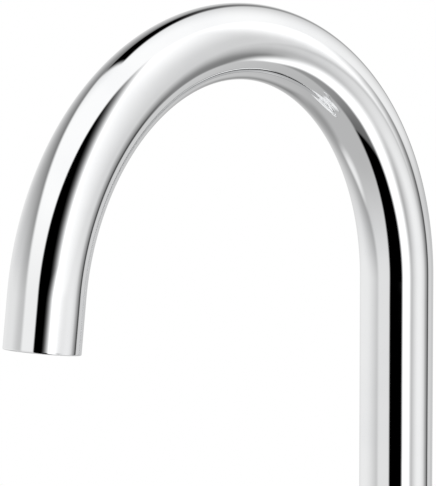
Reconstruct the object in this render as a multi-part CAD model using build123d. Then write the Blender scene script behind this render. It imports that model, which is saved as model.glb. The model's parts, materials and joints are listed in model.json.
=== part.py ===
from build123d import *
import os
from math import cos, radians, sin, tan

# Single-hole bathroom sink faucet with a swivelling gooseneck spout and a side lever.
# Millimetres. Z is up, the deck is at z = 0, the spout points to -Y and the valve axis is +X.

# Clearances between mating pieces
running_gap = 0.05
fixed_gap = 0.02
end_play = 0.1
carrier_play = 0.3
socket_end_gap = 0.3

# Largest difference between a sought edge's size or height and the stated one
match_tolerance = 1e-3

# Spout tube
tube_radius = 10.0
tube_wall = 1.2
bend_radius = 68.7
bend_angle = 172.6
bend_start_height = 200.0
outlet_straight = 14.3
outlet_edge = 0.3

# Aerator recessed in the outlet, with its threaded insert
insert_recess = 1.2
insert_wall = 0.8
insert_ledge = 1.2
insert_ledge_height = 1.5
aerator_recess = 0.6
aerator_wall = 0.8
aerator_lip = 0.6
aerator_lip_height = 0.8
key_notches = 4
key_notch_width = 1.6
key_notch_depth = 0.7
straightener_height = 2.5
straightener_cell = 0.85
straightener_pitch = 2.1
regulator_height = 2.5
regulator_hub = 2.2
regulator_holes = 8
regulator_hole_radius = 0.8
regulator_hole_circle = 4.8
aerator_seal_height = 1.2
aerator_seal_width = 1.0

# Spout foot, its seals, stop groove and collar
spigot_radius = 9.0
spigot_bore = 5.5
spigot_end_gap = 0.5
flange_radius = 12.0
flange_height = 2.5
neck_length = 10.0
seal_section = 1.0
seal_side_gap = 0.2
upper_seal_depth = 4.5
lower_seal_depth = 17.0
collar_radius = 14.0
collar_height = 7.0
collar_edge = 2.0
swing_limit = 60.0
stop_depth = 10.5
stop_screw_radius = 2.5
stop_screw_recess = 2.5
stop_tip_radius = 1.9
stop_tip_length = 3.2
stop_groove_depth = 2.5
stop_groove_gap = 0.25
stop_tip_gap = 0.4

# Body casting and the glide ring on it
body_radius = 23.0
body_top = 88.0
body_edge = 1.6
junction_edge = 1.5
socket_floor = 66.0
glide_radius = 13.0
glide_recess = 0.8
glide_stand = 0.3

# Base ring, its seal and the shank
base_radius = 26.0
base_height = 3.5
base_edge = 1.2
locating_radius = 17.0
locating_height = 3.0
seal_land = 1.0
base_seal_radius = 22.0
base_seal_height = 1.2
shank_radius = 16.0
shank_end_radius = 15.0
shank_bore = 13.0
shank_engagement = 10.5
shank_length = 55.0

# Clamp set under the deck
deck_thickness = 30.0
washer_radius = 24.0
washer_gap = 0.3
rubber_height = 3.0
steel_height = 1.5
nut_half_width = 20.5
nut_height = 9.0
nut_chamfer = 1.0

# Supply ports and waterways
port_radius = 4.5
port_depth = 10.0
port_setback = 3.0
inlet_side = 6.4
inlet_rise = 4.6
inlet_riser = 2.6
outlet_riser = 3.2
waterway = 2.1

# Cartridge, from the pocket floor outward along the valve axis
valve_height = 50.0
side_radius = 18.0
pocket_floor = 8.0
pocket_gap = 0.1
cartridge_radius = 12.5
cartridge_base_height = 3.5
port_seal_radius = 3.0
port_seal_height = 1.4
channel_depth = 1.5
channel_radius = 1.7
peg_radius = 1.25
peg_height = 2.0
peg_drop = 8.0
peg_side = 5.0
key_radius = 1.1
key_height = 2.0
disc_thickness = 2.5
disc_film = 0.03
disc_margin = 0.25
outlet_port = 2.2
kidney_circle = 4.2
kidney_half_width = 1.1
kidney_start = 20.0
kidney_end = 75.0
chamber_radius = 2.6
chamber_length = 4.2
chamber_depth = 1.2
housing_bore = 11.3
housing_end = 1.0
housing_neck = 10.5
housing_neck_out = 4.5
carrier_height = 4.2
carrier_half_width = 7.1
dog_radius = 1.1
dog_height = 0.8
dog_side = 5.2

# Stem, and the sleeve that it tilts in
tilt_limit = 20.0
lever_arm = 11.0
ball_radius = 2.4
ball_gap = 0.2
ball_floor = 0.4
stem_neck_radius = 1.9
stem_half = 3.5
stem_barrel = 4.5
stem_out = 22.0
pin_radius = 1.5
pin_end_gap = 0.3
sleeve_radius = 9.2
sleeve_out = 6.0
sleeve_flange = 1.2
sleeve_flange_radius = 11.1
guide_gap = 0.1
slot_gap = 0.1
slot_end_gap = 0.5

# Nut over the cartridge and the dome on it
valve_nut_radius = 14.5
dome_thread_radius = 13.5
dome_thread_out = 1.2
nut_slots = 4
nut_slot_width = 3.0
nut_slot_depth = 1.5
dome_radius = 16.0
dome_wall = 1.8
dome_opening = 10.3
shoulder_drop = 3.0

# Lever hub, rod, screw and plug
hub_gap = 0.5
hub_radius = 18.0
hub_rim_out = 4.0
hub_face_out = 25.0
hub_edge = 2.5
rod_out = 16.0
rod_radius = 4.0
rod_seat = 17.2
rod_length = 64.0
rod_seat_gap = 0.2
rod_stub_radius = 3.0
rod_stub_length = 6.5
hub_screw_out = 19.5
hub_screw_radius = 2.5
hub_screw_length = 6.0
key_size = 1.25
key_depth = 2.0
plug_radius = 2.9
plug_height = 4.0
plug_stand = 0.3

# Stations and radii worked out from the sizes above
tube_bore = tube_radius - tube_wall
insert_bore = tube_bore - fixed_gap - insert_wall
aerator_bore = insert_bore - fixed_gap - aerator_wall
aerator_start = insert_recess + aerator_recess
straightener_start = aerator_start + aerator_lip_height
regulator_start = straightener_start + straightener_height
aerator_end = regulator_start + regulator_height
ledge_start = aerator_end + aerator_seal_height
insert_end = ledge_start + insert_ledge_height

socket_radius = spigot_radius + running_gap
collar_seat = body_top + glide_stand + end_play
flange_top = collar_seat + flange_height
stop_height = body_top - stop_depth
seal_bore = locating_radius + seal_land
shank_shoulder = -locating_height
port_face = base_height + shank_engagement

cartridge_seat = pocket_floor + cartridge_base_height
fixed_face = cartridge_seat + disc_thickness
moving_face = fixed_face + disc_film
carrier_seat = moving_face + disc_thickness
carrier_face = carrier_seat + carrier_height
ball_out = carrier_seat + ball_floor + ball_gap + ball_radius
flange_start = carrier_face + carrier_play
flange_end = flange_start + sleeve_flange
housing_step = flange_end + end_play
housing_face = housing_step + housing_end
pivot_out = ball_out + lever_arm
side_face = pivot_out - shoulder_drop
sleeve_end = pivot_out + sleeve_out
disc_travel = lever_arm * sin(radians(tilt_limit))
disc_radius = housing_bore - disc_travel / 2 - disc_margin


def bar(radius, bottom, top, at=(0, 0)):
    """Round bar along Z between two heights."""
    solid = Cylinder(radius, top - bottom, align=(Align.CENTER, Align.CENTER, Align.MIN))
    return Pos(at[0], at[1], bottom) * solid


def ring(inner, outer, bottom, top, at=(0, 0)):
    """Round tube along Z between two heights."""
    return bar(outer, bottom, top, at) - bar(inner, bottom, top, at)


def block(length, width, bottom, top, at=(0, 0)):
    """Square-edged block along Z between two heights."""
    solid = Box(length, width, top - bottom, align=(Align.CENTER, Align.CENTER, Align.MIN))
    return Pos(at[0], at[1], bottom) * solid


def prism(outline, bottom, top):
    """Flat outline drawn out along Z between two heights."""
    return extrude(Pos(0, 0, bottom) * outline, top - bottom, dir=(0, 0, 1))


def around(solid, count):
    """Copies of a solid, evenly spaced about Z."""
    return [Rot(0, 0, 360 / count * index) * solid for index in range(count)]


def round_rim(solid, height, radius, size):
    """Rounds the circular edges of one radius at one height."""
    rims = [
        edge
        for edge in solid.edges().filter_by(GeomType.CIRCLE)
        if abs(edge.radius - radius) < match_tolerance
        and abs(edge.center().Z - height) < match_tolerance
    ]
    return fillet(rims, size)


def on_valve(solid):
    """Lays a solid drawn along Z on the valve axis: its Z turns outward and its X turns up."""
    return Plane(origin=(0, 0, valve_height), x_dir=(0, 0, 1), z_dir=(1, 0, 0)) * solid


def from_rear(solid, height):
    """Lays a solid drawn along Z on the rear radius of the body at a height."""
    return Plane(origin=(0, 0, height), x_dir=(1, 0, 0), z_dir=(0, 1, 0)) * solid


def upward(solid, station):
    """Turns a solid drawn along Z to X, which is up on the valve axis, at a station outward."""
    return Pos(0, 0, station) * (Rot(0, 90, 0) * solid)


def downward(solid, station):
    """Turns a solid drawn along Z to -X, which is down on the valve axis, at a station outward."""
    return Pos(0, 0, station) * (Rot(0, -90, 0) * solid)


def sideways(solid, station):
    """Turns a solid drawn along Z to Y, across the valve axis, at a station outward."""
    return Pos(0, 0, station) * (Rot(-90, 0, 0) * solid)


def headless_screw(radius, bottom, top):
    """Screw along Z with a hexagon socket in its upper end."""
    key = RegularPolygon(key_size, 6, major_radius=False)
    return bar(radius, bottom, top) - prism(key, top - key_depth, top)


def in_outlet(solid):
    """Places a solid drawn inward along Z from the cut end of the spout."""
    turn = radians(bend_angle)
    out = Vector(0, -sin(turn), cos(turn))
    bend_end = Vector(0, bend_radius * (cos(turn) - 1), bend_start_height + bend_radius * sin(turn))
    cut_end = bend_end + out * outlet_straight
    return Plane(origin=cut_end, x_dir=(1, 0, 0), z_dir=-out) * solid


def spout_tube():
    """Bent tube: leg, round bend and straight outlet end."""
    leg = ring(tube_bore, tube_radius, flange_top, bend_start_height)
    section = Pos(0, 0, bend_start_height) * (Circle(tube_radius) - Circle(tube_bore))
    bend_axis = Axis((0, -bend_radius, bend_start_height), (1, 0, 0))
    bend = revolve(section, bend_axis, bend_angle)
    end = ring(tube_bore, tube_radius, 0, outlet_straight)
    end = round_rim(end, 0, tube_radius, outlet_edge)
    return leg + bend + in_outlet(end)


def outlet_insert():
    """Threaded ring brazed in the outlet, with a ledge for the aerator's seal."""
    sleeve = ring(insert_bore, tube_bore - fixed_gap, insert_recess, insert_end)
    ledge = ring(insert_bore - insert_ledge, insert_bore, ledge_start, insert_end)
    return in_outlet(sleeve + ledge)


def aerator_housing():
    """Cup of the aerator, with key notches in its lip."""
    cup = ring(aerator_bore, insert_bore - fixed_gap, aerator_start, aerator_end)
    lip = ring(aerator_bore - aerator_lip, aerator_bore, aerator_start, straightener_start)
    notch = block(
        2 * insert_bore,
        key_notch_width,
        aerator_start,
        aerator_start + key_notch_depth,
        (aerator_bore, 0),
    )
    notch = notch - bar(aerator_bore - 2 * aerator_lip, aerator_start, aerator_end)
    return in_outlet(cup + lip - around(notch, key_notches))


def flow_straightener():
    """Honeycomb disc that makes the water run straight."""
    outer = aerator_bore - fixed_gap
    cell = RegularPolygon(straightener_cell, 6, major_radius=False)
    reach = outer - aerator_lip - straightener_cell
    rows = int(reach / straightener_pitch)
    row_step = straightener_pitch * sin(radians(60))
    places = [
        Pos(straightener_pitch * (column + row / 2), row_step * row)
        for row in range(-2 * rows, 2 * rows + 1)
        for column in range(-2 * rows, 2 * rows + 1)
    ]
    near = [place for place in places if place.position.length < reach]
    cells = Sketch() + [place * (Rot(0, 0, 30) * cell) for place in near]
    return in_outlet(prism(Circle(outer) - cells, straightener_start, regulator_start))


def flow_regulator():
    """Disc with a ring of metering holes round a raised hub."""
    plate_top = regulator_start + regulator_height / 2
    plate = bar(aerator_bore - fixed_gap, regulator_start, plate_top)
    rim = ring(aerator_bore - aerator_lip, aerator_bore - fixed_gap, plate_top, aerator_end)
    hub = bar(regulator_hub, plate_top, aerator_end)
    hole = bar(regulator_hole_radius, regulator_start, plate_top, (regulator_hole_circle, 0))
    return in_outlet(plate + rim + hub - around(hole, regulator_holes))


def aerator_seal():
    """Flat ring between the aerator and the ledge of its insert."""
    outer = insert_bore - fixed_gap
    return in_outlet(ring(outer - aerator_seal_width, outer, aerator_end, ledge_start))


def seal_heights():
    """Heights of the two O-rings on the spigot."""
    return body_top - upper_seal_depth, body_top - lower_seal_depth


def spout_foot():
    """Turned foot: spigot with seal and stop grooves, flange, and neck inside the tube."""
    foot = bar(spigot_radius, socket_floor + spigot_end_gap, collar_seat)
    foot += bar(flange_radius, collar_seat, flange_top)
    foot += bar(tube_bore - fixed_gap, flange_top, flange_top + neck_length)
    foot -= bar(spigot_bore, socket_floor, flange_top + neck_length)
    groove_floor = socket_radius - 2 * seal_section - running_gap
    for height in seal_heights():
        half = seal_section + seal_side_gap
        foot -= ring(groove_floor, flange_radius, height - half, height + half)
    return foot - stop_groove()


def stop_groove():
    """Arc in the rear of the spigot that the stop screw's tip runs in."""
    half = stop_tip_radius + stop_groove_gap
    floor = spigot_radius - stop_groove_depth
    outline = Pos(floor + stop_groove_depth, stop_height) * Rectangle(2 * stop_groove_depth, 2 * half)
    start = Rot(0, 0, 90 - swing_limit) * (Plane.XZ * outline)
    arc = revolve(start, Axis.Z, 2 * swing_limit)
    tip = from_rear(bar(half, floor, spigot_radius + stop_groove_depth), stop_height)
    return arc + Rot(0, 0, -swing_limit) * tip + Rot(0, 0, swing_limit) * tip


def spout_o_rings():
    """Two O-rings that seal the spigot in the body."""
    circle = socket_radius - running_gap / 2 - seal_section
    return Compound([Pos(0, 0, height) * Torus(circle, seal_section) for height in seal_heights()])


def spout_collar():
    """Plated sleeve that covers the foot's flange."""
    top = collar_seat + collar_height
    collar = round_rim(bar(collar_radius, collar_seat, top), top, collar_radius, collar_edge)
    collar -= bar(tube_radius + fixed_gap, collar_seat, top)
    return collar - bar(flange_radius + fixed_gap, collar_seat, flange_top)


def body_casting():
    """Upright body with the side boss for the valve, its socket, pocket, ports and waterways."""
    upright = bar(body_radius, base_height, body_top)
    boss = on_valve(bar(side_radius, 0, side_face))
    casting = upright + boss
    seam = [
        edge
        for edge in casting.edges()
        if edge.geom_type not in (GeomType.CIRCLE, GeomType.LINE)
    ]
    casting = fillet(seam, junction_edge)
    casting = round_rim(casting, body_top, body_radius, body_edge)
    casting -= bar(socket_radius, socket_floor, body_top)
    casting -= bar(glide_radius + fixed_gap, body_top - glide_recess, body_top)
    casting -= bar(shank_end_radius + fixed_gap, base_height, port_face)
    casting -= from_rear(bar(stop_screw_radius + fixed_gap, 0, body_radius), stop_height)
    return casting - waterways() - valve_pocket()


def waterways():
    """Bores from the two supply ports to the valve and from the valve to the spout socket."""
    bores = bar(outlet_riser, valve_height - outlet_riser, socket_floor)
    bores += on_valve(bar(waterway, 0, pocket_floor))
    for side in (-inlet_side, inlet_side):
        at = (-port_setback, side)
        bores += bar(port_radius, port_face, port_face + port_depth, at)
        bores += bar(inlet_riser, port_face + port_depth, valve_height + inlet_rise + waterway, at)
        bores += on_valve(bar(waterway, -port_setback, pocket_floor, (inlet_rise, side)))
    return bores


def valve_pocket():
    """Stepped pocket for the cartridge and its nut, with holes for the locating pegs."""
    nut_step = housing_face - end_play
    pocket = bar(cartridge_radius + pocket_gap, pocket_floor, nut_step)
    pocket += bar(valve_nut_radius + fixed_gap, nut_step, side_face)
    for side in (-peg_side, peg_side):
        depth = pocket_floor - peg_height - end_play
        pocket += bar(peg_radius + running_gap, depth, pocket_floor, (-peg_drop, side))
    return on_valve(pocket)


def glide_ring():
    """Plastic ring that the collar turns on."""
    top = body_top + glide_stand
    return ring(socket_radius + end_play, glide_radius, body_top - glide_recess, top)


def spout_stop_screw():
    """Screw in the rear of the body whose tip holds the spout in and stops its swing."""
    tip_end = spigot_radius - stop_groove_depth + stop_tip_gap
    shoulder = tip_end + stop_tip_length
    tip = bar(stop_tip_radius, tip_end, shoulder)
    return from_rear(
        tip + headless_screw(stop_screw_radius, shoulder, body_radius - stop_screw_recess),
        stop_height,
    )


def base_ring():
    """Plated ring under the body, with a spigot that centres in the deck hole."""
    plate = round_rim(bar(base_radius, 0, base_height), base_height, base_radius, base_edge)
    plate += bar(locating_radius, shank_shoulder, 0)
    plate -= ring(seal_bore, base_seal_radius + fixed_gap, 0, base_seal_height)
    return plate - bar(shank_end_radius + fixed_gap, shank_shoulder, base_height)


def base_seal():
    """Rubber ring in the underside of the base ring."""
    return ring(seal_bore + fixed_gap, base_seal_radius, 0, base_seal_height)


def mounting_shank():
    """Hollow threaded shank that screws into the body and carries the clamp set."""
    shank = bar(shank_radius, shank_shoulder - shank_length, shank_shoulder)
    shank += bar(shank_end_radius, shank_shoulder, port_face)
    return shank - bar(shank_bore, shank_shoulder - shank_length, port_face)


def clamp_heights():
    """Faces of the clamp set from the underside of the deck down."""
    deck = -deck_thickness
    rubber = deck - rubber_height
    steel = rubber - steel_height
    return deck, rubber, steel, steel - nut_height


def rubber_washer():
    top, bottom, _, _ = clamp_heights()
    return ring(shank_radius + washer_gap, washer_radius, bottom, top)


def steel_washer():
    _, top, bottom, _ = clamp_heights()
    return ring(shank_radius + washer_gap, washer_radius, bottom, top)


def mounting_nut():
    """Hexagon nut with turned corners."""
    _, _, top, bottom = clamp_heights()
    corner = nut_half_width / cos(radians(30))
    blank = bar(corner, bottom, top)
    blank = chamfer(blank.edges().filter_by(GeomType.CIRCLE), nut_chamfer)
    hexagon = prism(RegularPolygon(nut_half_width, 6, major_radius=False), bottom, top)
    return (hexagon & blank) - bar(shank_radius + running_gap, bottom, top)


def kidneys():
    """Outlines of the two inlet openings, one on each side of the valve's upright."""
    sweep = kidney_end - kidney_start
    outlines = []
    for start in (90 - kidney_end, kidney_start - 90):
        path = CenterArc((0, 0), kidney_circle, start, sweep)
        outlines.append(SlotArc(path, 2 * kidney_half_width))
    return outlines


def cartridge_base():
    """Floor of the cartridge: ports, kidney channels, seal seats, pegs and disc keys."""
    floor = bar(cartridge_radius, pocket_floor, cartridge_seat)
    floor -= bar(waterway, pocket_floor, cartridge_seat)
    floor -= bar(port_seal_radius, pocket_floor, pocket_floor + port_seal_height)
    channel_floor = cartridge_seat - channel_depth
    for side, kidney in zip((inlet_side, -inlet_side), kidneys()):
        at = (inlet_rise, side)
        floor -= bar(waterway, pocket_floor, cartridge_seat, at)
        floor -= bar(port_seal_radius, pocket_floor, pocket_floor + port_seal_height, at)
        middle = kidney.center()
        run = Vector(*at) - Vector(middle.X, middle.Y)
        slot = SlotCenterToCenter(run.length, 2 * channel_radius)
        turned = Rot(0, 0, Vector(1, 0).get_signed_angle(run)) * slot
        placed = Pos((middle.X + at[0]) / 2, (middle.Y + at[1]) / 2) * turned
        floor -= prism(placed, channel_floor, cartridge_seat)
        floor -= prism(kidney, channel_floor, cartridge_seat)
    for side in (-1, 1):
        peg_at = (-peg_drop, side * peg_side)
        key_at = (0, side * (housing_bore - key_radius - running_gap))
        floor += bar(peg_radius, pocket_floor - peg_height, pocket_floor, peg_at)
        floor += bar(key_radius, cartridge_seat, cartridge_seat + key_height, key_at)
    return on_valve(floor)


def port_seals():
    """Three rubber rings between the cartridge and the body."""
    places = ((0, 0), (inlet_rise, inlet_side), (inlet_rise, -inlet_side))
    top = pocket_floor + port_seal_height
    outer = port_seal_radius - fixed_gap
    return Compound([on_valve(ring(waterway, outer, pocket_floor, top, at)) for at in places])


def fixed_disc():
    """Ceramic disc with the outlet in its middle and two kidney inlets."""
    outline = Circle(housing_bore - running_gap) - Circle(outlet_port) - kidneys()
    for side in (-1, 1):
        key_at = Pos(0, side * (housing_bore - key_radius - running_gap))
        outline -= key_at * Circle(key_radius + running_gap)
    return on_valve(prism(outline, cartridge_seat, fixed_face))


def cartridge_housing():
    """Stepped shell that holds the discs and guides the sleeve."""
    hole = sleeve_radius + running_gap
    shell = ring(housing_bore, cartridge_radius, cartridge_seat, housing_step)
    shell += ring(hole, cartridge_radius, housing_step, housing_face)
    return on_valve(shell + ring(hole, housing_neck, housing_face, pivot_out + housing_neck_out))


def disc_middle():
    """Place of the moving disc's middle when the valve is shut: half its travel below the axis."""
    return (-disc_travel / 2, 0)


def moving_disc():
    """Ceramic disc with the mixing chamber in the face that slides on the fixed disc."""
    middle = disc_middle()
    solid = bar(disc_radius, moving_face, carrier_seat, middle)
    chamber = Pos(-chamber_length / 2, 0) * SlotCenterToCenter(chamber_length, 2 * chamber_radius)
    solid -= prism(chamber, moving_face, moving_face + chamber_depth)
    for side in (-dog_side, dog_side):
        hole_floor = carrier_seat - dog_height - end_play
        solid -= bar(dog_radius + running_gap, hole_floor, carrier_seat, (middle[0], side))
    return on_valve(solid)


def disc_carrier():
    """Carrier on the back of the moving disc, with flats for its guides and a socket for the ball."""
    middle = disc_middle()
    solid = bar(disc_radius, carrier_seat, carrier_face, middle)
    solid &= block(4 * disc_radius, 2 * carrier_half_width, carrier_seat, carrier_face)
    solid -= bar(ball_radius + ball_gap, carrier_seat + ball_floor, carrier_face)
    for side in (-dog_side, dog_side):
        solid += bar(dog_radius, carrier_seat - dog_height, carrier_seat, (middle[0], side))
    return on_valve(solid)


def tilt_slot():
    """Flared slot that leaves room for the stem over its whole tilt."""
    slope = tan(radians(tilt_limit))
    spread = cos(radians(tilt_limit))
    inner_reach = (pivot_out - flange_start) * slope + ball_radius / spread + slot_end_gap
    outer_reach = sleeve_out * slope + stem_half / spread + slot_end_gap
    barrel_reach = stem_barrel + slot_end_gap
    outline = Polyline(
        (inner_reach, carrier_seat),
        (inner_reach, flange_start),
        (barrel_reach, pivot_out),
        (stem_half + slot_end_gap, sleeve_end),
        (-outer_reach, sleeve_end),
        (-barrel_reach, pivot_out),
        (-ball_radius - slot_end_gap, flange_start),
        (-ball_radius - slot_end_gap, carrier_seat),
        close=True,
    )
    side = Plane.XZ * make_face(outline)
    return extrude(side, stem_half + slot_gap, both=True)


def rotary_sleeve():
    """Sleeve that turns with the lever, tilts the stem on its pin and guides the carrier."""
    sleeve = bar(sleeve_flange_radius, flange_start, flange_end)
    sleeve += bar(sleeve_radius, flange_end, sleeve_end)
    guide_start = carrier_seat + carrier_play
    guides = bar(sleeve_flange_radius, guide_start, flange_start)
    guide_width = 2 * (carrier_half_width + guide_gap)
    guides -= block(4 * sleeve_flange_radius, guide_width, guide_start, flange_start)
    sleeve += guides
    sleeve -= tilt_slot()
    sleeve -= sideways(bar(pin_radius + fixed_gap, -sleeve_radius, sleeve_radius), pivot_out)
    return on_valve(sleeve)


def stem_pin():
    """Pin that the stem tilts on."""
    half = sleeve_radius - pin_end_gap
    return on_valve(sideways(bar(pin_radius, -half, half), pivot_out))


def stem():
    """Stem with a ball for the carrier, a barrel on the pin and a square end for the lever."""
    solid = Pos(0, 0, ball_out) * Sphere(ball_radius)
    solid += bar(stem_neck_radius, ball_out, pivot_out)
    solid += sideways(bar(stem_barrel, -stem_half, stem_half), pivot_out)
    solid += block(2 * stem_half, 2 * stem_half, pivot_out, pivot_out + stem_out)
    solid -= sideways(bar(pin_radius + running_gap, -stem_half, stem_half), pivot_out)
    return on_valve(solid)


def cartridge_nut():
    """Nut that clamps the cartridge in the body and carries the dome."""
    hole = housing_neck + pocket_gap
    top = pivot_out + dome_thread_out
    nut = ring(hole, valve_nut_radius, housing_face, side_face)
    nut += ring(hole, dome_thread_radius, side_face, top)
    slot = block(dome_thread_radius, nut_slot_width, top - nut_slot_depth, top, (dome_thread_radius, 0))
    return on_valve(nut - around(slot, nut_slots))


def bonnet():
    """Polished dome over the cartridge, screwed on the nut."""
    dome = Pos(0, 0, pivot_out) * Sphere(dome_radius)
    dome &= bar(dome_radius, side_face, pivot_out + dome_radius)
    dome -= Pos(0, 0, pivot_out) * Sphere(dome_radius - dome_wall)
    dome -= bar(dome_thread_radius + fixed_gap, side_face, pivot_out + dome_thread_out + end_play)
    return on_valve(dome - bar(dome_opening, side_face, pivot_out + dome_radius))


def handle_hub():
    """Hub with a ball-shaped hollow over the dome, a square hole and the rod's seat."""
    face = pivot_out + hub_face_out
    hub = bar(hub_radius, pivot_out + hub_rim_out, face)
    hub = round_rim(hub, face, hub_radius, hub_edge)
    hub -= Pos(0, 0, pivot_out) * Sphere(dome_radius + hub_gap)
    square = 2 * (stem_half + fixed_gap)
    hub -= block(square, square, pivot_out, pivot_out + stem_out + socket_end_gap)
    rod_station = pivot_out + rod_out
    stub_floor = rod_seat - rod_stub_length - socket_end_gap
    hub -= upward(bar(rod_stub_radius + fixed_gap, stub_floor, rod_seat), rod_station)
    hub -= upward(bar(rod_radius + rod_seat_gap, rod_seat, hub_radius), rod_station)
    screw_station = pivot_out + hub_screw_out
    hub -= downward(bar(hub_screw_radius + fixed_gap, 0, hub_radius), screw_station)
    hub -= downward(bar(plug_radius + fixed_gap, plug_floor(), hub_radius), screw_station)
    return on_valve(hub)


def plug_floor():
    """Distance of the plug's inner end from the valve axis."""
    return hub_radius + plug_stand - plug_height


def lever_rod():
    """Round lever with a domed tip and a threaded stub."""
    tip = rod_seat + rod_length
    rod = bar(rod_radius, rod_seat, tip - rod_radius)
    rod += Pos(0, 0, tip - rod_radius) * Sphere(rod_radius)
    rod += bar(rod_stub_radius, rod_seat - rod_stub_length, rod_seat)
    return on_valve(upward(rod, pivot_out + rod_out))


def handle_set_screw():
    """Screw that holds the hub on the stem's square."""
    start = stem_half + fixed_gap
    screw = headless_screw(hub_screw_radius, start, start + hub_screw_length)
    return on_valve(downward(screw, pivot_out + hub_screw_out))


def index_plug():
    """Plain plug over the hub's screw hole."""
    floor = plug_floor()
    return on_valve(downward(bar(plug_radius, floor, floor + plug_height), pivot_out + hub_screw_out))


SUB_PARTS = (
    spout_tube,
    outlet_insert,
    aerator_housing,
    flow_straightener,
    flow_regulator,
    aerator_seal,
    spout_foot,
    spout_o_rings,
    spout_collar,
    body_casting,
    glide_ring,
    spout_stop_screw,
    base_ring,
    base_seal,
    mounting_shank,
    rubber_washer,
    steel_washer,
    mounting_nut,
    cartridge_base,
    port_seals,
    fixed_disc,
    cartridge_housing,
    moving_disc,
    disc_carrier,
    rotary_sleeve,
    stem_pin,
    stem,
    cartridge_nut,
    bonnet,
    handle_hub,
    lever_rod,
    handle_set_screw,
    index_plug,
)

os.makedirs("parts", exist_ok=True)
for make in SUB_PARTS:
    export_step(make(), f"parts/{make.__name__}.step")
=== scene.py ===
import json
from functools import partial
from math import cos, pi, radians, sin

import bmesh
import bpy
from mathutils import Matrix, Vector


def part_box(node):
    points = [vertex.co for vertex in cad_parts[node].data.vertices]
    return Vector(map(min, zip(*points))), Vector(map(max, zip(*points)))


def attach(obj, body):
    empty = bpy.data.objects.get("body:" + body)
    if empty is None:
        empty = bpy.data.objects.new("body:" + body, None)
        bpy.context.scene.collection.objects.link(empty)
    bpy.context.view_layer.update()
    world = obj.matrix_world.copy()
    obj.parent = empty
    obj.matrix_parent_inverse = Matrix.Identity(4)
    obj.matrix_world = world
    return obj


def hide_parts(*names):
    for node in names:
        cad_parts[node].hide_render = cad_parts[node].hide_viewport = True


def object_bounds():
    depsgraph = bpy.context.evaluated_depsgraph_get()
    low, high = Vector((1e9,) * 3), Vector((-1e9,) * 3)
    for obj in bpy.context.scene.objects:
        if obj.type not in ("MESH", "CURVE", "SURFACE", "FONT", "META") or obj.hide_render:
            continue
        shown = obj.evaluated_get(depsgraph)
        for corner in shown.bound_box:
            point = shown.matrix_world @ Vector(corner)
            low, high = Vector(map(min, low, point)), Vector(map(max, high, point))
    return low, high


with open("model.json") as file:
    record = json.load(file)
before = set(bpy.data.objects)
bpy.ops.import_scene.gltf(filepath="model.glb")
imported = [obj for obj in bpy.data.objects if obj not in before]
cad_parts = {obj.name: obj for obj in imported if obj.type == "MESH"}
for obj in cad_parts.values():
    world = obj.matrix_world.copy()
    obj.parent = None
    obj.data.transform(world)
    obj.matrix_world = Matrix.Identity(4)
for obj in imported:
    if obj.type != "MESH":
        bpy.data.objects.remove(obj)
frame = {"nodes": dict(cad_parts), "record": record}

# Bathroom sink faucet with a gooseneck spout, dressed for the picture.
# Metres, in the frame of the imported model: Z is up, the spout points to -Y, and the valve's axis is X.

cad_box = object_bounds()

# Spout tube: what its box doesn't say, and its facets
TUBE_WALL = 0.0012
BEND_RADIUS = 0.0687
BEND_ANGLE = radians(172.6)
OUTLET_STRAIGHT = 0.0143
OUTLET_EDGE = 0.0003
AROUND_TUBE = 96
ALONG_BEND = 144
ALONG_OUTLET = 12
ALONG_EDGE = 4
TUBE_CREASE = radians(60)

# Mounting shank: what its box doesn't say, and its facets
SHANK_SHOULDER = -0.003
SHANK_END = 0.015
SHANK_BORE = 0.013
SHANK_CHAMFER = 0.0006
AROUND_SHANK = 120
SHANK_CREASE = radians(35)

# Thread of the shank. Its form along one turn is (share of a pitch, share of the depth)
THREAD_PITCH = 0.0015
THREAD_DEPTH = 0.00081
THREAD_TOP = -0.0095
THREAD_FORM = ((0.0, 0.0), (0.125, -0.05), (0.25, 0.0), (0.5625, 1.0), (0.6875, 1.0))
THREAD_LEAD_IN = 0.1
SPARE_TURNS = 3
CUT_TOLERANCE = 1e-7

# Camera, fitted to the outline in the photograph
CAMERA_PLACE = Vector((0.8421, -1.0047, 0.3737))
CAMERA_AIM = Vector((-0.0226, -0.0476, 0.2120))
CAMERA_LENS = 359.27
CAMERA_SENSOR = 36.0
CAMERA_REACH = 100.0

# Floor, soft lamp, and brightness of the studio, where plain white is 1
FLOOR_RADIUS = 3.0
FLOOR_FACETS = 128
FLOOR_NEAR = 0.35
FLOOR_FAR = 0.9
FLOOR_COLOUR = 0.93
LAMP_PLACE = Vector((-1.2, -1.4, 2.2))
LAMP_SIZE = 1.6
LAMP_POWER = 22.0
LAMP_FACE = 1.2
BACKDROP = 1.0


# Number formulas in node trees

class Number:
    """A number in a node tree, so that shading formulas read like sums."""

    def __init__(self, tree, socket):
        self.tree = tree
        self.socket = socket

    def math(self, operation, *others):
        node = self.tree.nodes.new("ShaderNodeMath")
        node.operation = operation
        for place, value in enumerate((self,) + others):
            plug(self.tree, value, node.inputs[place])
        return Number(self.tree, node.outputs[0])

    def __add__(self, other):
        return self.math("ADD", other)

    def __sub__(self, other):
        return self.math("SUBTRACT", other)

    def __mul__(self, other):
        return self.math("MULTIPLY", other)

    def __truediv__(self, other):
        return self.math("DIVIDE", other)

    def __pow__(self, other):
        return self.math("POWER", other)

    def __neg__(self):
        return self * -1.0

    def __abs__(self):
        return self.math("ABSOLUTE")

    def __rsub__(self, other):
        return -self + other

    __radd__ = __add__
    __rmul__ = __mul__


def plug(tree, value, socket):
    """Links a number to a socket, or writes a plain one on it."""
    if isinstance(value, Number):
        tree.links.new(value.socket, socket)
    else:
        socket.default_value = value


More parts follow.
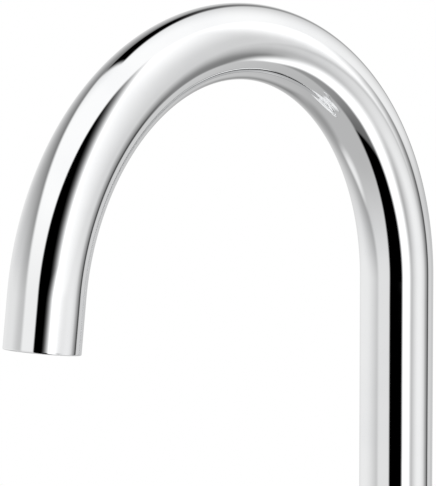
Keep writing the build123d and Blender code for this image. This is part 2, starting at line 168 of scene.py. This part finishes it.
def map_range(value, start, end, kind):
    """0 up to start and 1 from end, with a run of a kind between."""
    node = value.tree.nodes.new("ShaderNodeMapRange")
    node.interpolation_type = kind
    plug(value.tree, value, node.inputs["Value"])
    node.inputs["From Min"].default_value = start
    node.inputs["From Max"].default_value = end
    return Number(value.tree, node.outputs["Result"])


def soft_step(value, start, end):
    """0 up to start and 1 from end, with a smooth step between."""
    return map_range(value, start, end, "SMOOTHSTEP")


def ramp(value, start, end):
    """0 up to start and 1 from end, with a straight run between."""
    return map_range(value, start, end, "LINEAR")


def blend(low, high, share):
    """Low where share is 0 and high where it is 1."""
    return low + (high - low) * share


def split(tree, vector):
    """The three parts of a vector."""
    node = tree.nodes.new("ShaderNodeSeparateXYZ")
    tree.links.new(vector, node.inputs[0])
    return [Number(tree, part) for part in node.outputs]


def ray_kinds(tree):
    """Whether the ray is the camera's, a glossy one, and one through glass, each as 1 or 0."""
    rays = tree.nodes.new("ShaderNodeLightPath")
    return [Number(tree, rays.outputs[f"Is {kind} Ray"]) for kind in ("Camera", "Glossy", "Transmission")]


# Studio that polished metal reflects. Directions are in degrees

class Sky:
    """Direction of a ray that leaves the scene: azimuth from the front towards the right, and height."""

    def __init__(self, tree):
        self.tree = tree
        self.way = tree.nodes.new("ShaderNodeTexCoord").outputs["Generated"]
        x, y, z = split(tree, self.way)
        self.azimuth = x.math("ARCTAN2", -y).math("DEGREES")
        self.height = z.math("ARCSINE").math("DEGREES")

    def turned_from(self, azimuth, height):
        """Angle between the ray and a direction."""
        a, h = radians(azimuth), radians(height)
        node = self.tree.nodes.new("ShaderNodeVectorMath")
        node.operation = "DOT_PRODUCT"
        self.tree.links.new(self.way, node.inputs[0])
        node.inputs[1].default_value = (cos(h) * sin(a), -cos(h) * cos(a), sin(h))
        return Number(self.tree, node.outputs["Value"]).math("ARCCOSINE").math("DEGREES")


def panel(sky, centre, reach, bend, soft):
    """1 inside a rounded panel and 0 outside. A bend of 2 is an ellipse, and more is squarer."""
    across = abs((sky.azimuth - centre[0]) / reach[0]) ** bend
    rise = abs((sky.height - centre[1]) / reach[1]) ** bend
    return soft_step((across + rise) ** (1 / bend), 1 + soft, 1 - soft)


def room(sky, above):
    """White walls with painted grey shade on the wall behind, and a grey floor with two darker patches of
    painted shadow and a dark stripe.
    """
    az, el = sky.azimuth, sky.height
    walls = blend(0.92, 1.07, ramp(el, 2, 37))
    ground = blend(0.61, 0.82, soft_step(abs(az + 2), 72, 7))
    ground = blend(ground, 0.51, soft_step(el, -13, -68))
    ground = blend(ground, 0.68, soft_step(az, 150, 159) * soft_step(el, -34, -15))
    # Painted shadows: two soft darker patches on the floor
    ground = ground * (1.0 - panel(sky, centre=(-132, -23), reach=(19, 20), bend=1.1, soft=0.75) * 0.70)
    ground = ground * (1.0 - panel(sky, centre=(-108, -47), reach=(21, 12), bend=2.2, soft=0.75) * 0.37)
    stripe = soft_step(az, -175, -179) + soft_step(az, 177, 178)
    ground = ground * (1.0 - stripe * ramp(el, -9, -17) * 0.90)
    seen = blend(ground, walls, soft_step(el, -3.5, 4.5))
    # Painted shade: the wall behind on the left is darkened to grey
    painted_wall_shade = soft_step(sky.turned_from(-128.5, 8), 69, 4)
    return blend(seen, 0.50, painted_wall_shade * above)


def right_lamp(sky, above):
    """Brightness of the right lamp, white in a black rim, and the share of the view that it takes."""
    az, el = sky.azimuth, sky.height
    cover = panel(sky, centre=(88.7, 1), reach=(70.8, 70), bend=2.9, soft=0.04)
    end_above = soft_step(az, 161.7, 158.2)
    end_below = soft_step(az, 165, 155)
    cover = cover * blend(end_above, end_below, soft_step(el, -31, -36))

    # Lower half: the front, with a greyer middle and a dark far end
    front = panel(sky, centre=(121.7, 1), reach=(63.3, 52), bend=3.2, soft=0.06)
    front = front * soft_step(el - az * 0.26, -85, -79)
    rim = blend(0.15, 0.32, soft_step(az, 78, 139)) * soft_step(az, 73, 81)
    below = blend(rim, LAMP_FACE, front)
    inner = blend(0.12, 0.95, panel(sky, centre=(117, -9), reach=(28.7, 22), bend=1.4, soft=0.9))
    inner = blend(inner, 0.24, ramp(az, 136.0, 155.5))
    inner = blend(inner, 0.06, ramp(az, 149.5, 155) * soft_step(el, -18, -15.5))
    below = blend(below, inner, panel(sky, centre=(115, 1), reach=(31, 31), bend=3.4, soft=0.20))
    below = blend(below, inner, soft_step(az, 128, 146) * soft_step(el, -39, -26))

    # Upper half: the front fades into the rim, and its edge leans over just above the middle
    lean = blend(7.5, 0.0, ramp(el, 1.4, 8.0))
    front = ramp(sky.turned_from(143, -4.5) - lean, 97.5, 74.2) ** 2.6
    over = LAMP_FACE * front
    over = over * (1.0 - panel(sky, centre=(143.5, 4), reach=(35.4, 29.3), bend=4.9, soft=1.2) * 0.46)
    side = soft_step(az, 137, 148)
    over = blend(over, LAMP_FACE, side)
    wedge = soft_step((el + 6.8) / abs(az - 140.7), 0.0, 1.66)
    return blend(below, over, blend(above, wedge, side)), cover


def left_lamp(sky, seen, above):
    """Adds the left lamp: a grey front, one black stretch of its rim, and its light on the floor."""
    az, el = sky.azimuth, sky.height
    front = panel(sky, centre=(-84.5, -1.6), reach=(64, 43), bend=2.4, soft=0.09)
    over = blend(0.84, 0.14, ramp(el, 0, 43)) * blend(1.0, 0.76, soft_step(az, -62, -29))
    below = blend(0.38, 0.90, panel(sky, centre=(-83, -1), reach=(63, 28), bend=1.5, soft=0.65))
    seen = blend(seen, blend(below, over, above), front)
    stretch = soft_step(sky.turned_from(-74.4, -21.2), 90.8, 85.8) * (1.0 - front)
    stretch = stretch * soft_step(az, -98, -107) * soft_step(az, -167, -133)
    seen = seen * (1.0 - stretch * above)
    patch = panel(sky, centre=(-65, -44), reach=(19.3, 11.5), bend=1.9, soft=0.58) * (1.0 - front)
    return blend(seen, 1.0, patch * 0.80)


def surround(sky):
    """Brightness of the studio in each direction. Above is 0 in its lower half and 1 in its upper."""
    above = soft_step(sky.height, -8.5, -0.9)
    lamp, cover = right_lamp(sky, above)
    return left_lamp(sky, blend(room(sky, above), lamp, cover), above)


def make_world():
    """Plain backdrop for the camera and through glass, and the studio for every other ray."""
    world = bpy.data.worlds.new("studio")
    bpy.context.scene.world = world
    world.use_nodes = True
    tree = world.node_tree
    tree.nodes.clear()
    camera, _, through = ray_kinds(tree)
    light = blend(surround(Sky(tree)), BACKDROP, camera.math("MAXIMUM", through))
    back = tree.nodes.new("ShaderNodeBackground")
    back.inputs["Color"].default_value = (1.0, 1.0, 1.0, 1.0)
    plug(tree, light, back.inputs["Strength"])
    out = tree.nodes.new("ShaderNodeOutputWorld")
    tree.links.new(back.outputs[0], out.inputs["Surface"])


def floor_material():
    """Pale and matte near the faucet, and plain white further away."""
    material = bpy.data.materials.new("floor")
    material.use_nodes = True
    tree = material.node_tree
    tree.nodes.clear()
    length = tree.nodes.new("ShaderNodeVectorMath")
    length.operation = "LENGTH"
    tree.links.new(tree.nodes.new("ShaderNodeTexCoord").outputs["Object"], length.inputs[0])
    away = Number(tree, length.outputs["Value"])
    camera, glossy, through = ray_kinds(tree)
    seen = camera.math("MAXIMUM", glossy).math("MAXIMUM", through)
    plain = tree.nodes.new("ShaderNodeBsdfDiffuse")
    plain.inputs["Color"].default_value = (FLOOR_COLOUR, FLOOR_COLOUR, FLOOR_COLOUR, 1.0)
    bright = tree.nodes.new("ShaderNodeEmission")
    bright.inputs["Strength"].default_value = BACKDROP
    mix = tree.nodes.new("ShaderNodeMixShader")
    plug(tree, soft_step(away, FLOOR_NEAR, FLOOR_FAR) * seen, mix.inputs[0])
    tree.links.new(plain.outputs[0], mix.inputs[1])
    tree.links.new(bright.outputs[0], mix.inputs[2])
    out = tree.nodes.new("ShaderNodeOutputMaterial")
    tree.links.new(mix.outputs[0], out.inputs["Surface"])
    return material


def make_floor():
    """Round floor under the faucet, which metal doesn't show, because the studio has its own."""
    mesh = bpy.data.meshes.new("floor")
    form = bmesh.new()
    bmesh.ops.create_circle(form, cap_ends=True, segments=FLOOR_FACETS, radius=FLOOR_RADIUS)
    form.to_mesh(mesh)
    form.free()
    mesh.materials.append(floor_material())
    floor = bpy.data.objects.new("floor", mesh)
    floor.location = (0.0, 0.0, cad_box[0].z)
    floor.visible_glossy = False
    bpy.context.scene.collection.objects.link(floor)


def aim_at(thing, place, aim):
    """Puts a lamp or camera at a place, turned to what it aims at."""
    thing.location = place
    thing.rotation_mode = "QUATERNION"
    thing.rotation_quaternion = (aim - place).to_track_quat("-Z", "Y")
    bpy.context.scene.collection.objects.link(thing)


def make_lamp():
    """Soft square lamp that casts the faucet's shadow, and that metal doesn't show."""
    data = bpy.data.lights.new("softbox", "AREA")
    data.shape = "SQUARE"
    data.size = LAMP_SIZE
    data.energy = LAMP_POWER
    lamp = bpy.data.objects.new("softbox", data)
    lamp.visible_glossy = False
    aim_at(lamp, LAMP_PLACE, Vector())


def make_camera():
    """Camera that sees what the photograph does."""
    data = bpy.data.cameras.new("camera")
    data.lens = CAMERA_LENS
    data.sensor_width = CAMERA_SENSOR
    data.clip_end = CAMERA_REACH
    camera = bpy.data.objects.new("camera", data)
    aim_at(camera, CAMERA_PLACE, CAMERA_AIM)
    bpy.context.scene.camera = camera


# Materials

class Surface:
    """The formulas that a finish of one node is made of, in the node's own place. Sizes are in metres."""

    def __init__(self, finish, node, axis):
        self.material = bpy.data.materials.new(f"{finish}_{node}")
        self.material.use_nodes = True
        self.tree = self.material.node_tree
        self.shader = self.tree.nodes["Principled BSDF"]
        low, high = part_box(node)
        place = self.tree.nodes.new("ShaderNodeTexCoord")
        shift = self.tree.nodes.new("ShaderNodeVectorMath")
        shift.operation = "SUBTRACT"
        self.tree.links.new(place.outputs["Object"], shift.inputs[0])
        shift.inputs[1].default_value = (low + high) / 2
        self.place = shift.outputs["Vector"]

        # Grows along the axis and away from it, so that its levels are rings round the axis
        sides = split(self.tree, self.place)
        along = sides.pop("xyz".index(axis))
        self.turned = along + (sides[0] * sides[0] + sides[1] * sides[1]) ** 0.5

    def patches(self, size, detail=2.0):
        """Soft patches of about a size."""
        node = self.tree.nodes.new("ShaderNodeTexNoise")
        self.tree.links.new(self.place, node.inputs["Vector"])
        node.inputs["Scale"].default_value = 1 / size
        node.inputs["Detail"].default_value = detail
        return Number(self.tree, node.outputs["Fac"])

    def rings(self, pitch, detail=1.0):
        """Marks that a cutting or polishing tool leaves round the axis, also on faces square to it."""
        node = self.tree.nodes.new("ShaderNodeTexNoise")
        node.noise_dimensions = "1D"
        plug(self.tree, self.turned, node.inputs["W"])
        node.inputs["Scale"].default_value = 1 / pitch
        node.inputs["Detail"].default_value = detail
        return Number(self.tree, node.outputs["Fac"])

    def grains(self, size):
        """Rounded grains of about a size."""
        node = self.tree.nodes.new("ShaderNodeTexVoronoi")
        self.tree.links.new(self.place, node.inputs["Vector"])
        node.inputs["Scale"].default_value = 1 / size
        return Number(self.tree, node.outputs["Distance"])

    def metal(self):
        self.shader.inputs["Metallic"].default_value = 1.0

    def colour(self, low, high, share):
        node = self.tree.nodes.new("ShaderNodeMix")
        node.data_type = "RGBA"
        plug(self.tree, share, node.inputs["Factor"])
        node.inputs["A"].default_value = (*low, 1.0)
        node.inputs["B"].default_value = (*high, 1.0)
        self.tree.links.new(node.outputs["Result"], self.shader.inputs["Base Color"])

    def roughness(self, value):
        plug(self.tree, value, self.shader.inputs["Roughness"])

    def relief(self, height, depth):
        """Bump of a depth."""
        node = self.tree.nodes.new("ShaderNodeBump")
        node.inputs["Distance"].default_value = depth
        plug(self.tree, height, node.inputs["Height"])
        self.tree.links.new(node.outputs["Normal"], self.shader.inputs["Normal"])


def chrome(node, axis, polish):
    """Bright chrome plate: faint ripples, polishing marks of a pitch, and smears that dull it a little."""
    surface = Surface("chrome", node, axis)
    surface.metal()
    smears = soft_step(surface.patches(size=0.018, detail=4.0), 0.42, 0.72)
    surface.colour(low=(0.905, 0.910, 0.915), high=(0.880, 0.886, 0.895), share=smears)
    surface.roughness(blend(0.018, 0.050, smears) + surface.rings(pitch=0.0006) * 0.01)
    ripples = surface.patches(size=0.009, detail=1.0)
    surface.relief(ripples + surface.rings(pitch=polish) * 0.02, depth=0.00002)
    return surface.material


def brass(node, axis):
    """Unplated turned brass: tool marks, and a tarnish that is browner in patches."""
    surface = Surface("brass", node, axis)
    surface.metal()
    tarnish = soft_step(surface.patches(size=0.010, detail=5.0), 0.40, 0.70)
    surface.colour(low=(0.80, 0.63, 0.34), high=(0.62, 0.44, 0.21), share=tarnish * 0.8)
    surface.roughness(blend(0.20, 0.38, tarnish) + surface.rings(pitch=0.0004) * 0.08)
    surface.relief(surface.rings(pitch=0.0003, detail=2.0), depth=0.00003)
    return surface.material


def steel(node, axis):
    """Bright turned stainless steel, with tool marks and duller patches."""
    surface = Surface("steel", node, axis)
    surface.metal()
    dull = surface.patches(size=0.006, detail=4.0)
    surface.colour(low=(0.64, 0.64, 0.65), high=(0.54, 0.54, 0.56), share=soft_step(dull, 0.35, 0.75))
    surface.roughness(blend(0.16, 0.32, dull) + surface.rings(pitch=0.00035) * 0.08)
    surface.relief(surface.rings(pitch=0.00025, detail=2.0), depth=0.00002)
    return surface.material


def plastic(node, axis, low, high):
    """Moulded plastic with the fine matte grain of its mould."""
    surface = Surface("plastic", node, axis)
    flow = surface.patches(size=0.008, detail=3.0)
    surface.colour(low, high, share=flow)
    surface.roughness(blend(0.38, 0.56, flow))
    surface.relief(surface.grains(size=0.0004) + surface.patches(size=0.0015) * 0.5, depth=0.00002)
    return surface.material


def alumina(node, axis):
    """Lapped ceramic: nearly white, with tiny grey specks."""
    surface = Surface("alumina", node, axis)
    specks = soft_step(surface.patches(size=0.0007, detail=3.0), 0.62, 0.72)
    surface.colour(low=(0.93, 0.92, 0.89), high=(0.80, 0.79, 0.76), share=specks)
    surface.roughness(blend(0.14, 0.26, surface.patches(size=0.004, detail=3.0)))
    surface.relief(surface.patches(size=0.0003), depth=0.000004)
    return surface.material


def rubber(node, axis):
    """Moulded rubber, dull, with a pale bloom in patches."""
    surface = Surface("rubber", node, axis)
    bloom = soft_step(surface.patches(size=0.005, detail=5.0), 0.45, 0.80)
    surface.colour(low=(0.035, 0.035, 0.037), high=(0.085, 0.083, 0.080), share=bloom)
    surface.roughness(blend(0.62, 0.82, bloom))
    surface.relief(surface.grains(size=0.00035) + surface.rings(pitch=0.0005) * 0.3, depth=0.00003)
    return surface.material


# Finish of each material slot
FINISHES = {
    "spout_chrome": partial(chrome, polish=0.004),
    "body_chrome": partial(chrome, polish=0.006),
    "trim_chrome": partial(chrome, polish=0.002),
    "lever_chrome": partial(chrome, polish=0.003),
    "turned_brass": brass,
    "bright_steel": steel,
    "dark_plastic": partial(plastic, low=(0.10, 0.10, 0.11), high=(0.15, 0.15, 0.16)),
    "light_plastic": partial(plastic, low=(0.84, 0.84, 0.82), high=(0.78, 0.78, 0.76)),
    "alumina": alumina,
    "black_rubber": rubber,
}

# Nodes that are turned or moulded about an axis other than Z
ABOUT_X = (
    "cartridge_base", "port_seals", "fixed_disc", "cartridge_housing", "moving_disc", "disc_carrier",
    "rotary_sleeve", "stem", "cartridge_nut", "bonnet", "handle_hub",
)
ABOUT_Y = ("spout_stop_screw", "stem_pin")


def dress_nodes():
    """Gives each node the finish of its slot, and returns the materials by node."""
    slots = {part["node"]: part["material_slot"] for part in frame["record"]["subparts"]}
    materials = {}
    for name, node in frame["nodes"].items():
        axis = "x" if name in ABOUT_X else "y" if name in ABOUT_Y else "z"
        materials[name] = FINISHES[slots[name]](name, axis)
        node.data.materials.clear()
        node.data.materials.append(materials[name])
    return materials


# Pieces that stand for a node

def join_rings(form, one, other):
    """Faces between two closed rings of as many points."""
    for step in range(len(one)):
        after = (step + 1) % len(one)
        form.faces.new((one[step], one[after], other[after], other[step]))


def new_piece(name, form, crease, material):
    """Smooth piece made of a form, which is used up, and sharp where it turns by more than the crease."""
    mesh = bpy.data.meshes.new(name)
    bmesh.ops.recalc_face_normals(form, faces=form.faces)
    form.to_mesh(mesh)
    form.free()
    mesh.materials.append(material)
    for face in mesh.polygons:
        face.use_smooth = True
    mesh.set_sharp_from_angle(angle=crease)
    piece = bpy.data.objects.new(name, mesh)
    bpy.context.scene.collection.objects.link(piece)
    return piece


def tube_line():
    """Middle line of the tube, as (place, direction) from the foot to the cut end, and its radius."""
    low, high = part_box("spout_tube")
    radius = (high.x - low.x) / 2
    bend_start = high.z - BEND_RADIUS - radius
    line = [(Vector((0.0, 0.0, low.z)), Vector((0.0, 0.0, 1.0)))]
    for step in range(ALONG_BEND + 1):
        turn = BEND_ANGLE * step / ALONG_BEND
        place = Vector((0.0, BEND_RADIUS * (cos(turn) - 1), bend_start + BEND_RADIUS * sin(turn)))
        line.append((place, Vector((0.0, -sin(turn), cos(turn)))))
    place, way = line[-1]
    for step in range(1, ALONG_OUTLET):
        line.append((place + way * (OUTLET_STRAIGHT - 2 * OUTLET_EDGE) * step / (ALONG_OUTLET - 1), way))
    line.append((place + way * OUTLET_STRAIGHT, way))
    return line, radius


def tube_ring(form, place, way, reach):
    """Ring of points round a place, square to a direction."""
    side = Vector((1.0, 0.0, 0.0))
    across = way.cross(side)
    turns = [2 * pi * step / AROUND_TUBE for step in range(AROUND_TUBE)]
    return [form.verts.new(place + (side * cos(turn) + across * sin(turn)) * reach) for turn in turns]


def spout_tube(material):
    """Bent tube with finer facets than the solid's, because its polish shows them."""
    line, radius = tube_line()
    bore = radius - TUBE_WALL
    end, way = line.pop()
    outside = [(place, direction, radius) for place, direction in line]
    inside = [(place, direction, bore) for place, direction in line]
    for step in range(ALONG_EDGE + 1):
        turn = pi / 2 * step / ALONG_EDGE
        place = end - way * OUTLET_EDGE * (1 - sin(turn))
        rounding = OUTLET_EDGE * (1 - cos(turn))
        outside.append((place, way, radius - rounding))
        inside.append((place, way, bore + rounding))
    form = bmesh.new()
    rings = [tube_ring(form, *row) for row in outside + inside[::-1]]
    for one, other in zip(rings, rings[1:] + rings[:1]):
        join_rings(form, one, other)
    piece = new_piece("spout_skin", form, TUBE_CREASE, material)
    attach(piece, "spout")
    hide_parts("spout_tube")


def shank_ring(form, reach, height):
    """Level ring of points round the shank's axis."""
    turns = [2 * pi * step / AROUND_SHANK for step in range(AROUND_SHANK)]
    return [form.verts.new((reach * cos(turn), reach * sin(turn), height)) for turn in turns]


def thread_reach(rise, height, bottom, crest):
    """Radius at a rise of the thread's form, held low at the bottom and faded into the neck at the top."""
    root = crest - THREAD_DEPTH
    lead_in = root + THREAD_DEPTH * THREAD_LEAD_IN + max(height - bottom, 0.0)
    reach = min(blend(root, crest, rise), lead_in)
    turns_left = (THREAD_TOP - height) / THREAD_PITCH
    return blend(crest, reach, min(max(turns_left, 0.0), 1.0))


def cut_off(form, height, way):
    """Cuts away what lies past a height: above it for a way of 1, and below it for -1."""
    bmesh.ops.bisect_plane(
        form,
        geom=form.verts[:] + form.edges[:] + form.faces[:],
        dist=CUT_TOLERANCE,
        plane_co=(0, 0, height),
        plane_no=(0, 0, way),
        clear_outer=True,
    )


def add_thread(form, bottom, crest):
    """Winds the thread's form up the shank, and cuts both ends off level."""
    per_turn = len(THREAD_FORM)
    turns = int((THREAD_TOP - bottom) / THREAD_PITCH) + SPARE_TURNS
    rows = []
    for row in range(turns * per_turn + 1):
        share, rise = THREAD_FORM[row % per_turn]
        ring = []
        for step in range(AROUND_SHANK):
            height = bottom + THREAD_PITCH * (row // per_turn + share + step / AROUND_SHANK - 1)
            reach = thread_reach(rise, height, bottom, crest)
            turn = 2 * pi * step / AROUND_SHANK
            ring.append(form.verts.new((reach * cos(turn), reach * sin(turn), height)))
        rows.append(ring)
    for number, (ring, above) in enumerate(zip(rows, rows[1:])):
        for step in range(AROUND_SHANK - 1):
            form.faces.new((ring[step], ring[step + 1], above[step + 1], above[step]))
        after = number + per_turn
        if after + 1 < len(rows):
            form.faces.new((ring[-1], rows[after][0], rows[after + 1][0], above[-1]))
    cut_off(form, bottom, -1)
    cut_off(form, THREAD_TOP, 1)


def threaded_shank(material):
    """Hollow shank with a real thread below a plain neck, and chamfered ends."""
    low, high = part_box("mounting_shank")
    crest = (high.x - low.x) / 2
    form = bmesh.new()
    add_thread(form, low.z, crest)
    last_turn = THREAD_TOP - THREAD_PITCH
    lower = [edge for edge in form.edges if edge.is_boundary and edge.verts[0].co.z < last_turn]
    upper = [edge for edge in form.edges if edge.is_boundary and edge.verts[0].co.z > last_turn]
    outline = (
        (crest, SHANK_SHOULDER),
        (SHANK_END, SHANK_SHOULDER),
        (SHANK_END, high.z),
        (SHANK_BORE, high.z),
        (SHANK_BORE, low.z + SHANK_CHAMFER),
        (SHANK_BORE + SHANK_CHAMFER, low.z),
    )
    rings = [shank_ring(form, reach, height) for reach, height in outline]
    for one, other in zip(rings, rings[1:]):
        join_rings(form, one, other)
    for open_edges, ring in ((upper, rings[0]), (lower, rings[-1])):
        hoop = [form.edges.get((ring[step - 1], ring[step])) for step in range(AROUND_SHANK)]
        bmesh.ops.bridge_loops(form, edges=open_edges + hoop)
    piece = new_piece("shank_thread", form, SHANK_CREASE, material)
    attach(piece, "body")
    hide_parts("mounting_shank")


materials = dress_nodes()
spout_tube(materials["spout_tube"])
threaded_shank(materials["mounting_shank"])
make_world()
make_floor()
make_lamp()
make_camera()
bpy.context.scene.view_settings.view_transform = "Standard"
